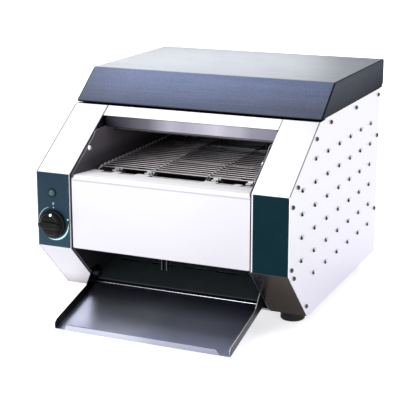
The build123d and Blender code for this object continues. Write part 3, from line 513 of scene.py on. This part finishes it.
# Hood skin: one sheet bent over the front and rear edges, its ends rounded over and closed by flat cheeks.
hood = {"half": 185.3, "bottom": 259.6, "top": 303.3, "frontLow": 116.1, "frontHigh": 173.4, "rear": 419.0,
        "frontFold": 10.0, "rearFold": 7.0, "bends": (2.2, 7.0, 3.0, 3.0), "edge": 1.8, "edgeSteps": 4,
        "gauge": 1.2}
hoodLine = roundedLine([(hood["frontLow"] + hood["frontFold"], hood["bottom"]),
                        (hood["frontLow"], hood["bottom"]), (hood["frontHigh"], hood["top"]),
                        (hood["rear"], hood["top"]),
                        (hood["rear"], hood["bottom"] + hood["rearFold"]),
                        (hood["rear"] - hood["rearFold"], hood["bottom"])], hood["bends"])
along = np.gradient(hoodLine, axis=0)
inward = np.stack([along[:, 1], -along[:, 0]], 1) / np.linalg.norm(along, axis=1)[:, None]
swing = np.linspace(0, math.pi / 2, hood["edgeSteps"] + 1)
inset = hood["edge"] * (1 - np.cos(swing))
reach = hood["half"] - hood["edge"] + hood["edge"] * np.sin(swing)
stations = np.concatenate([-reach[::-1], reach])
insets = np.concatenate([inset[::-1], inset])
hoodPoints = np.empty((len(stations), len(hoodLine), 3))
hoodPoints[..., 0] = stations[:, None]
hoodPoints[..., 1:] = hoodLine + insets[:, None, None] * inward
hoodFaces = gridFaces(len(stations), len(hoodLine)).tolist()
lastRow = len(hoodLine) * (len(stations) - 1)
hoodEnds = [list(range(len(hoodLine))), list(range(lastRow, lastRow + len(hoodLine)))[::-1]]
newPiece("hoodSkin", [(hoodPoints, hoodFaces + hoodEnds)], "housing", hoodPaint,
         replaced=["hood"], wall=hood["gauge"], even=False)
print("hood bent")

# Louvres are drop-shaped scoops in rows and columns, each open towards the front. Low and high are its
# mouth's edges from its centre line, and point is the power by which it narrows. The slot under it is a
# little smaller.
louvre = {"columns": 47.0 + 52.0 * np.arange(7), "rows": 55.5 + 31.5 * np.arange(6), "low": -3.0, "high": 4.6,
          "length": 13.0, "rise": 2.6, "along": 7, "over": 8, "lean": (0.5, 1.3), "point": 0.6, "gauge": 0.5,
          "slotShares": (0.03, 0.3, 0.55, 0.7), "slotShrink": 0.93, "hair": 0.03}
# The side panel's outline steps up under the hood; it starts and ends on the front edge, 1 mm apart.
sidePanel = {"start": 120.0, "end": 119.0, "hoodFoot": 134.0, "hoodHead": (166.0, 290.0), "rear": 406.0,
             "bends": [1.5] * 5 + [4.0, 2.0, 2.0], "bendSteps": 3, "gauge": 1.0}


def louvreSpots():
    # (Y, Z) of every louvre's mouth; the first column lacks its ends, because the panel slopes away there.
    y, z = np.meshgrid(louvre["columns"], louvre["rows"], indexing="ij")
    keep = np.ones(y.shape, bool)
    keep[0, [0, -1]] = False
    return np.stack([y[keep], z[keep]], 1)


def scoopSurface(side):
    # A scoop: u runs from the mouth to the tail, v over it. Its two edges close to a point as (1 - u)^point,
    # and it stands out by rise (1 - u^2) times v^a (1 - v)^b, which is fullest low down.
    u, v = np.meshgrid(np.linspace(0, 1, louvre["along"]), np.linspace(0, 1, louvre["over"]), indexing="ij")
    first, second = louvre["lean"]
    top = first / (first + second)
    swell = (v / top) ** first * ((1 - v) / (1 - top)) ** second
    close = (1 - u) ** louvre["point"]
    out = louvre["rise"] * (1 - u ** 2) * swell
    up = close * (louvre["low"] + (louvre["high"] - louvre["low"]) * v)
    shape = np.stack([side * (machine["half"] + out), u * louvre["length"], up], -1)
    spots = louvreSpots()
    moved = np.concatenate([np.zeros((len(spots), 1)), spots], 1)
    points = shape.reshape(1, -1, 3) + moved[:, None]
    one = gridFaces(louvre["along"], louvre["over"])
    one = one[:, ::-1] if side > 0 else one
    return points, (one[None] + (np.arange(len(spots)) * shape[..., 0].size)[:, None, None]).reshape(-1, 4)


def sideSheet(side):
    # The panel's outline with a drop-shaped slot under each scoop. A hair's shift from slot to slot keeps
    # three of their corners from lying in line, which would leave faces of no area.
    rear, (headDepth, top) = sidePanel["rear"], sidePanel["hoodHead"]
    outline = roundedLine([(0, sidePanel["start"]), (0, machine["faceTop"]),
                           (machine["slopeDepth"], machine["slopeHeight"]),
                           (sidePanel["hoodFoot"], machine["slopeHeight"]), (headDepth, top), (rear, top),
                           (rear, 0), (machine["undercutDepth"], 0), (0, machine["faceBottom"]),
                           (0, sidePanel["end"])],
                          sidePanel["bends"], sidePanel["bendSteps"])
    u = np.array(louvre["slotShares"])
    close = (1 - u) ** louvre["point"] * louvre["slotShrink"]
    slot = np.concatenate([np.stack([u * louvre["length"], close * louvre["low"]], 1),
                           np.stack([u * louvre["length"], close * louvre["high"]], 1)[::-1]])
    spots = louvreSpots()
    shifts = louvre["hair"] * np.sin(np.arange(len(spots)))
    points, faces = flatSheet(outline, [slot + spot + shift for spot, shift in zip(spots, shifts)])
    full = np.concatenate([np.full((len(points), 1), side * machine["half"]), points], 1)
    return full, [face if side > 0 else face[::-1] for face in faces]


for sideName, side in (("left", -1), ("right", 1)):
    newPiece(f"{sideName}SideSkin", [sideSheet(side)], "housing", stainlessSide,
             replaced=[f"{sideName}_side_panel"], wall=sidePanel["gauge"], closed=False)
    newPiece(f"{sideName}Louvres", [scoopSurface(side)], "housing", stainlessSide,
             wall=louvre["gauge"], closed=False)
print("sides pressed")

# Front panel: hem, face, rounded crease and ledge in one sheet; the ledge has notches over the sprockets.
# The hem passes between the cheeks with a little clearance, and the ledge is narrower than the face.
panel = {"half": 129.7, "ledgeHalf": 128.1, "bottom": 79.5, "setback": 1.5, "hem": 24.0, "hemPoints": 6,
         "hemClear": 0.3, "crease": 177.0, "shoulder": (5.6, 181.4), "crown": (8.0, 182.2),
         "rear": (63.8, 176.95), "bends": (1.0, 1.6, 2.5, 6.0), "gauge": 1.0, "notch": 14.8,
         "notches": ((-113, -95), (-85, -60), (-41, 41), (60, 85), (95, 113))}
(crownDepth, crownHeight), (rearDepth, rearHeight) = panel["crown"], panel["rear"]
ledgeSlope = (rearHeight - crownHeight) / (rearDepth - crownDepth)
notchLine = (rearDepth - panel["notch"], rearHeight - panel["notch"] * ledgeSlope)
panelLine = roundedLine([(panel["setback"] + panel["hem"], panel["bottom"]),
                         (panel["setback"], panel["bottom"]), (panel["setback"], panel["crease"]),
                         panel["shoulder"], panel["crown"], panel["rear"]], panel["bends"])
panelLine = np.concatenate([panelLine[:-1], [notchLine], panelLine[-1:]])
panelX = np.unique([-panel["half"], 0.0, *np.ravel(panel["notches"]), panel["half"]])
halves = np.where(panelLine[:, 0] < crownDepth, panel["half"], panel["ledgeHalf"])
halves[:panel["hemPoints"]] = machine["cheekInner"] - panel["hemClear"]
panelPoints = np.empty((len(panelX), len(panelLine), 3))
panelPoints[..., 0] = panelX[:, None]
panelPoints[0, :, 0], panelPoints[-1, :, 0] = -halves, halves
panelPoints[..., 1:] = panelLine
middle = (panelX[:-1] + panelX[1:]) / 2
cut = np.zeros((len(panelX) - 1, len(panelLine) - 1), bool)
cut[:, -1] = [any(low < x < high for low, high in panel["notches"]) for x in middle]
panelFaces = gridFaces(len(panelX), len(panelLine))[~cut.ravel()]
newPiece("frontPanelSkin", [(panelPoints, panelFaces[:, ::-1])], "housing", stainlessPanel,
         replaced=["front_panel"], wall=panel["gauge"], closed=False)
print("front panel folded")

# Wire belt: every wire is bent flat, its loops pass under the next wire and curl up round it, and its ends
# are rolled round the next one. Shares and turns are where a bend's and a curl's points lie.
belt = {"pitch": 11.0, "teeth": 12, "run": 24, "wire": 0.64, "half": 124.0, "joints": (-41.0, 41.0),
        "jointHalf": 1.7, "under": 8.6, "tip": 11.4, "reach": 12.8, "dip": 1.6, "lift": 0.7, "curl": 1.9,
        "curlIn": 1.7, "curlTurns": (-165, -105, -45, 15, 75, 135, 175), "tail": (7.8, -0.5), "bend": 1.5,
        "bendLimit": 0.45, "bendShares": (0, 0.35, 0.65, 1), "frontY": 80.0, "shaftZ": 159.8, "sides": 6}
beltRadius = belt["pitch"] * belt["teeth"] / (2 * math.pi)


def beltPlace(x, along, rise):
    # A place on the belt's loop: straight over the top, half round the rear, straight back under and round
    # the front. Round the ends, a turn is the length along the arc divided by the belt's radius.
    run, arc = belt["pitch"] * belt["run"], math.pi * beltRadius
    frontY, rearY, shaftZ = belt["frontY"], belt["frontY"] + run, belt["shaftZ"]
    along = along % (2 * (run + arc))
    turnRear = math.pi / 2 - (along - run) / beltRadius
    turnFront = -math.pi / 2 - (along - 2 * run - arc) / beltRadius
    out = beltRadius + rise
    stretches = [along < run, along < run + arc, along < 2 * run + arc]
    y = np.select(stretches, [frontY + along, rearY + out * np.cos(turnRear), rearY - (along - run - arc)],
                  frontY + out * np.cos(turnFront))
    z = np.select(stretches, [shaftZ + out, shaftZ + out * np.sin(turnRear), shaftZ - out],
                  shaftZ + out * np.sin(turnFront))
    return np.stack([x + 0 * y, y, z], -1)


def wireLine():
    # One wire as (across, along, rise): straight in each space, looped at each joint; every corner is a
    # short curve (1-t)^2 A + 2t(1-t) C + t^2 B.
    turn = np.radians(belt["curlTurns"])
    curl = np.stack([np.full(len(turn), belt["half"] - belt["curlIn"]),
                     belt["pitch"] + belt["curl"] * np.cos(turn), belt["curl"] * np.sin(turn)], 1)
    tail = [(belt["half"], 0, 0), (belt["half"], *belt["tail"]), *curl]
    loop = [(0, 0), (belt["under"], -belt["dip"]), (belt["tip"], -belt["dip"]), (belt["reach"], belt["lift"])]
    corners = [(-x, along, rise) for x, along, rise in tail[::-1]]
    for joint in belt["joints"]:
        corners += [(joint - belt["jointHalf"], *place) for place in loop]
        corners += [(joint + belt["jointHalf"], *place) for place in loop[::-1]]
    corners = np.array(corners + tail, float)
    before, corner, after = corners[:-2], corners[1:-1], corners[2:]
    gapBefore = np.linalg.norm(before - corner, axis=1, keepdims=True)
    gapAfter = np.linalg.norm(after - corner, axis=1, keepdims=True)
    start = corner + (before - corner) / gapBefore * np.minimum(belt["bend"], gapBefore * belt["bendLimit"])
    end = corner + (after - corner) / gapAfter * np.minimum(belt["bend"], gapAfter * belt["bendLimit"])
    t = np.array(belt["bendShares"])[:, None]
    curves = (1 - t) ** 2 * start[:, None] + 2 * t * (1 - t) * corner[:, None] + t ** 2 * end[:, None]
    return np.concatenate([corners[:1], curves.reshape(-1, 3), corners[-1:]])


across, along, rise = wireLine().T
starts = (np.arange(2 * (belt["run"] + belt["teeth"] // 2)) + 0.5) * belt["pitch"]
wirePaths = beltPlace(across, starts[:, None] + along, rise)
outward = beltPlace(across, starts[:, None] + along, rise + 1.0) - wirePaths
newPiece("beltWires", [tubeSurface(wirePaths, belt["wire"], outward, belt["sides"])], "housing",
         drawnWire, replaced=["wire_belt"], sharp=70)
print("belt woven")

# Grey beads of painted shade in the open seams up the slope: between each column and its side, as (place,
# radius), and between each column and the strip across, where they start at stripLow of the way up.
seam = {"outer": ((-182.9, 0.6), (182.9, 0.85)), "low": 0.01, "inner": 131.2, "innerRadius": 0.62,
        "stripLow": 0.855, "points": 5, "sides": 6}
slopeEnds = np.array([(0.0, machine["faceTop"]), (machine["slopeDepth"], machine["slopeHeight"])])


def seamTube(x, radius, first):
    # A bead at x on the slope, from a share of the way up to its top.
    share = np.linspace(first, 1, seam["points"])[:, None]
    line = slopeEnds[0] * (1 - share) + slopeEnds[1] * share
    path = np.concatenate([np.full((seam["points"], 1), x), line], 1)
    return tubeSurface(path[None], radius, (1.0, 0, 0), seam["sides"])


seamTubes = [seamTube(x, radius, seam["low"]) for x, radius in seam["outer"]]
seamTubes += [seamTube(side * seam["inner"], seam["innerRadius"], seam["stripLow"]) for side in (-1, 1)]
newPiece("columnSeams", seamTubes, "housing", seamShadowGrey)

# Toast tray: a bright bead behind its floor, a painted highlight on the floor's rear bend, and the rolled
# rims on its side walls, whose line lies in the tray's own slope from its front corner.
bead = {"half": 125.6, "place": (61.0, 13.6), "radius": 0.42, "points": 6, "sides": 8}
beadX = np.linspace(-bead["half"], bead["half"], bead["points"])
beadPath = np.array([[(x, *bead["place"]) for x in beadX]])
newPiece("trayBead", [tubeSurface(beadPath, bead["radius"], (0, 0, 1.0), bead["sides"])], "toast_tray",
         nickelScrew)
rim = {"across": 127.1, "radius": 0.75, "corners": ((7, 11.1), (94, 11.1), (114.7, 24.8)), "bend": 8.0,
       "front": (-57.0, -18.0), "slope": math.radians(14.5), "sides": 10}
rimCos, rimSin = math.cos(rim["slope"]), math.sin(rim["slope"])
rimLine = roundedLine(rim["corners"], [rim["bend"]])
rimPaths = np.empty((2, len(rimLine), 3))
rimPaths[..., 0] = np.array([[-rim["across"]], [rim["across"]]])
rimPaths[..., 1:] = rimLine @ np.array([[rimCos, rimSin], [-rimSin, rimCos]]) + rim["front"]
newPiece("trayRims", [tubeSurface(rimPaths, rim["radius"], (1.0, 0, 0), rim["sides"])], "toast_tray",
         rimSteel)
print("seams and tray rims laid")

# Pan-head screws with a small recess, black on the outside and, a size larger, bright in the mouth. Places
# are (Y, Z) on the sides and in the mouth, and (X, Z) on the rear.
screw = {"profile": [(0, 1.2), (0.9, 1.4), (1.15, 2.4), (2.2, 2.0), (2.9, 1.1), (3.1, 0), (0, 0)],
         "steps": 14,
         "side": [(162, 251), (280, 251), (398, 251), (102, 239), (30, 190), (12, 168), (10.6, 85),
                  (20.6, 71), (73.4, 16), (398, 188), (397, 72)],
         "rear": [(-174, 20), (0, 62), (174, 20), (-174, 130), (174, 130), (-174, 240), (-60, 250), (60, 250),
                  (174, 240)],
         "rearFace": 406.0, "mouth": (51.5, 210), "mouthSize": 1.3, "mouthSteps": 20}
sideScrews = [turnedSurface(screw["profile"], (side * machine["half"], *place), (side, 0, 0), screw["steps"])
              for side in (-1, 1) for place in screw["side"]]
newPiece("sideScrews", sideScrews, "housing", blackScrew)
rearScrews = [turnedSurface(screw["profile"], (x, screw["rearFace"], z), (0, 1, 0), screw["steps"])
              for x, z in screw["rear"]]
newPiece("rearScrews", rearScrews, "housing", blackScrew)
largeProfile = np.array(screw["profile"]) * screw["mouthSize"]
mouthScrews = [turnedSurface(largeProfile, (side * machine["cheekInner"], *screw["mouth"]), (-side, 0, 0),
                             screw["mouthSteps"]) for side in (-1, 1)]
newPiece("mouthScrews", mouthScrews, "housing", nickelScrew)
print("screws driven")

# Speed knob: a turned skirt and dome, a grip bar across that narrows to its ends, and a white dot set into
# the dome.
knob = {"x": -159.0, "z": 111.8, "back": -1.2, "steps": 64,
        "profile": [(0, 0), (3, 0), (19.2, 0), (19.6, 0.4), (19.6, 3.2), (19.0, 4.0), (17.6, 4.3),
                    (17.0, 5.2), (16.2, 7.4), (15.2, 9.6), (14.0, 10.7), (11.5, 11.2), (0, 11.3)]}
knobPlace = (knob["x"], knob["back"], knob["z"])
newPiece("knobBody", [turnedSurface(knob["profile"], knobPlace, (0, -1, 0), knob["steps"])], "knob",
         blackAbs, replaced=["control_knob"])

grip = {"half": 16.0, "wide": 4.2, "back": 10.0, "front": 16.0, "round": 1.9, "stations": 13, "narrow": 0.55,
        "narrowPower": 5}
share = np.linspace(-1, 1, grip["stations"])
narrow = np.sqrt(1 - np.abs(share) ** grip["narrowPower"] * grip["narrow"])
gripLine = roundedLine([(-grip["wide"], grip["back"]), (-grip["wide"], grip["front"]),
                        (grip["wide"], grip["front"]), (grip["wide"], grip["back"])], [grip["round"]] * 2)
gripPoints = np.empty((len(share), len(gripLine), 3))
gripPoints[..., 0] = knob["x"] + (grip["half"] * share)[:, None]
gripPoints[..., 1] = knob["back"] - grip["back"] - (gripLine[:, 1] - grip["back"]) * narrow[:, None]
gripPoints[..., 2] = knob["z"] + gripLine[:, 0] * narrow[:, None]
gripRows = np.arange(len(share) * len(gripLine)).reshape(len(share), -1)
gripEnds = [gripRows[0].tolist(), gripRows[-1, ::-1].tolist()]
gripBase = [gripRows[:, 0].tolist() + gripRows[::-1, -1].tolist()]
gripFaces = gridFaces(len(share), len(gripLine)).tolist() + gripEnds + gripBase
newPiece("knobGrip", [(gripPoints, gripFaces)], "knob", blackAbs)

dot = {"place": (2.0, 10.2, 14.3), "facing": (0.1, -0.78, 0.6), "steps": 24,
       "profile": [(0, 0.45), (1.1, 0.38), (1.7, 0.2), (2.0, -0.1), (2.0, -1.6), (0, -1.6)]}
dotPlace = (knob["x"] + dot["place"][0], knob["back"] - dot["place"][1], knob["z"] + dot["place"][2])
newPiece("knobDot", [turnedSurface(dot["profile"], dotPlace, dot["facing"], dot["steps"])], "knob",
         whiteInk)

# Dial print round the knob: two arcs as (first degree, last degree, thin, wide), a nought, a marker and
# a tick.
dial = {"radius": 23.3, "proud": 0.06, "film": 0.05, "steps": 40, "fine": (108, 171, 0.3, 0.65),
        "thick": (-112, 2, 0.2, 2.4), "zero": (-158.5, 139.6, 3.6), "zeroWide": 0.62, "zeroHole": 0.58,
        "zeroSteps": 24, "marker": (-158.5, 134.0, 1.3, 3, 90), "tick": (-136.6, 118.9, 1.2, 20, 0)}


def onPlate(x, z):
    # Places on the plate, just proud of it.
    return np.stack([x, np.full_like(x, -dial["proud"]), z], -1)


def dialArc(first, last, thin, wide):
    # A tapered arc on the plate: its width swells from thin to wide as the sine of the way along it.
    share = np.linspace(0, 1, dial["steps"])
    angle = np.radians(first + (last - first) * share)
    width = thin + (wide - thin) * np.sin(np.pi * share)
    radius = dial["radius"] + np.stack([-width / 2, width / 2])
    x, z = knob["x"] + radius * np.cos(angle), knob["z"] + radius * np.sin(angle)
    return onPlate(x, z), gridFaces(2, dial["steps"])


def dialZero(x, z, height):
    # A plain nought: the ring between two ellipses.
    turn = np.linspace(0, 2 * np.pi, dial["zeroSteps"], endpoint=False)
    size = np.array([[1.0], [dial["zeroHole"]]]) * height / 2
    ring = onPlate(x + dial["zeroWide"] * size * np.cos(turn), z + size * np.sin(turn))
    return ring, gridFaces(2, dial["zeroSteps"], wrap=True)


def dialSpot(x, z, size, corners, start):
    # A small regular shape: the marker's triangle or the tick's round dot.
    turn = np.radians(start) + np.linspace(0, 2 * np.pi, corners, endpoint=False)
    return onPlate(x + size * np.cos(turn), z + size * np.sin(turn)), [list(range(corners))]


newPiece("dialPrint", [dialArc(*dial["fine"]), dialArc(*dial["thick"]), dialZero(*dial["zero"]),
                       dialSpot(*dial["marker"]), dialSpot(*dial["tick"])],
         "housing", paleInk, closed=False, wall=dial["film"])

# Pilot lamp: a domed lens turned about its axis, with its stem behind the plate.
lens = {"place": (-159.9, 0, 154.7), "steps": 40,
        "profile": [(0, 4.2), (1.2, 4.1), (2.4, 3.75), (3.4, 3.05), (4.2, 2.1), (4.65, 1.1), (4.75, 0.2),
                    (4.75, -4.0), (0, -4.0)]}
newPiece("lampLens", [turnedSurface(lens["profile"], lens["place"], (0, -1, 0), lens["steps"])], "housing",
         greenLens, replaced=["pilot_lamp"])
print("knob, dial and lamp made")

# Camera in front and to the right of the machine, a little above it.
cameraAt = {"position": (671.07, -1394.98, 570.47), "azimuth": 23.629, "elevation": 14.808, "lens": 109.59,
            "sensor": 36.0, "reach": 50.0}
cameraData = bpy.data.cameras.new("viewCamera")
cameraData.lens, cameraData.sensor_width = cameraAt["lens"], cameraAt["sensor"]
cameraData.clip_end = cameraAt["reach"]
camera = bpy.data.objects.new("viewCamera", cameraData)
bpy.context.collection.objects.link(camera)
camera.location = toRow([cameraAt["position"]])[0]
camera.rotation_euler = (math.radians(90 - cameraAt["elevation"]), 0, math.radians(cameraAt["azimuth"]))
bpy.context.scene.camera = camera

# Pale floor lit from below, so that it runs into the white surroundings; floorReach is in metres.
light = {"sky": "#ffffff", "skyStrength": 1.05, "floor": ("#e0e0e2", "#e4e4e6"), "floorReach": 9.0,
         "glow": 0.6}
floorReach = light["floorReach"]
floorMesh = bpy.data.meshes.new("paleFloor")
floorMesh.from_pydata([(-floorReach, -floorReach, 0), (floorReach, -floorReach, 0),
                       (floorReach, floorReach, 0), (-floorReach, floorReach, 0)], [], [(0, 1, 2, 3)])
paleFloor = bpy.data.objects.new("paleFloor", floorMesh)
bpy.context.collection.objects.link(paleFloor)
litFloor = moulded("backlitOpalFloor", *light["floor"], 0.8, 3.0, 0.0)
floorShader = litFloor.node_tree.nodes["Principled BSDF"]
floorShader.inputs["Emission Color"].default_value = hexColor(light["sky"])
floorShader.inputs["Emission Strength"].default_value = light["glow"]
floorMesh.materials.append(litFloor)

world = bpy.data.worlds.new("whiteStudio")
bpy.context.scene.world = world
world.use_nodes = True
world.node_tree.nodes["Background"].inputs["Color"].default_value = hexColor(light["sky"])
world.node_tree.nodes["Background"].inputs["Strength"].default_value = light["skyStrength"]


def softLamp(name, position, target, size, power):
    # A square area lamp aimed at a point, both in the machine's frame; its size is in metres and its power
    # in watts.
    lampData = bpy.data.lights.new(name, "AREA")
    lampData.size, lampData.energy = size, power
    lamp = bpy.data.objects.new(name, lampData)
    bpy.context.collection.objects.link(lamp)
    start, end = toRow([position, target])
    lamp.location = start
    direction = end - start
    flat = math.hypot(direction[0], direction[1])
    lamp.rotation_euler = (math.atan2(flat, -direction[2]), 0, math.atan2(-direction[0], direction[1]))


softLamp("overheadSoftbox", (-700, -400, 1600), (0, 150, 120), 1.8, 18)
softLamp("rearLeftSoftbox", (-1500, 2300, 1150), (-40, 280, 300), 2.2, 34)
softLamp("mouthFill", (-250, -1500, 620), (0, 120, 190), 0.9, 12)
bpy.context.scene.view_settings.view_transform = "Standard"
print("camera, floor and lamps set")
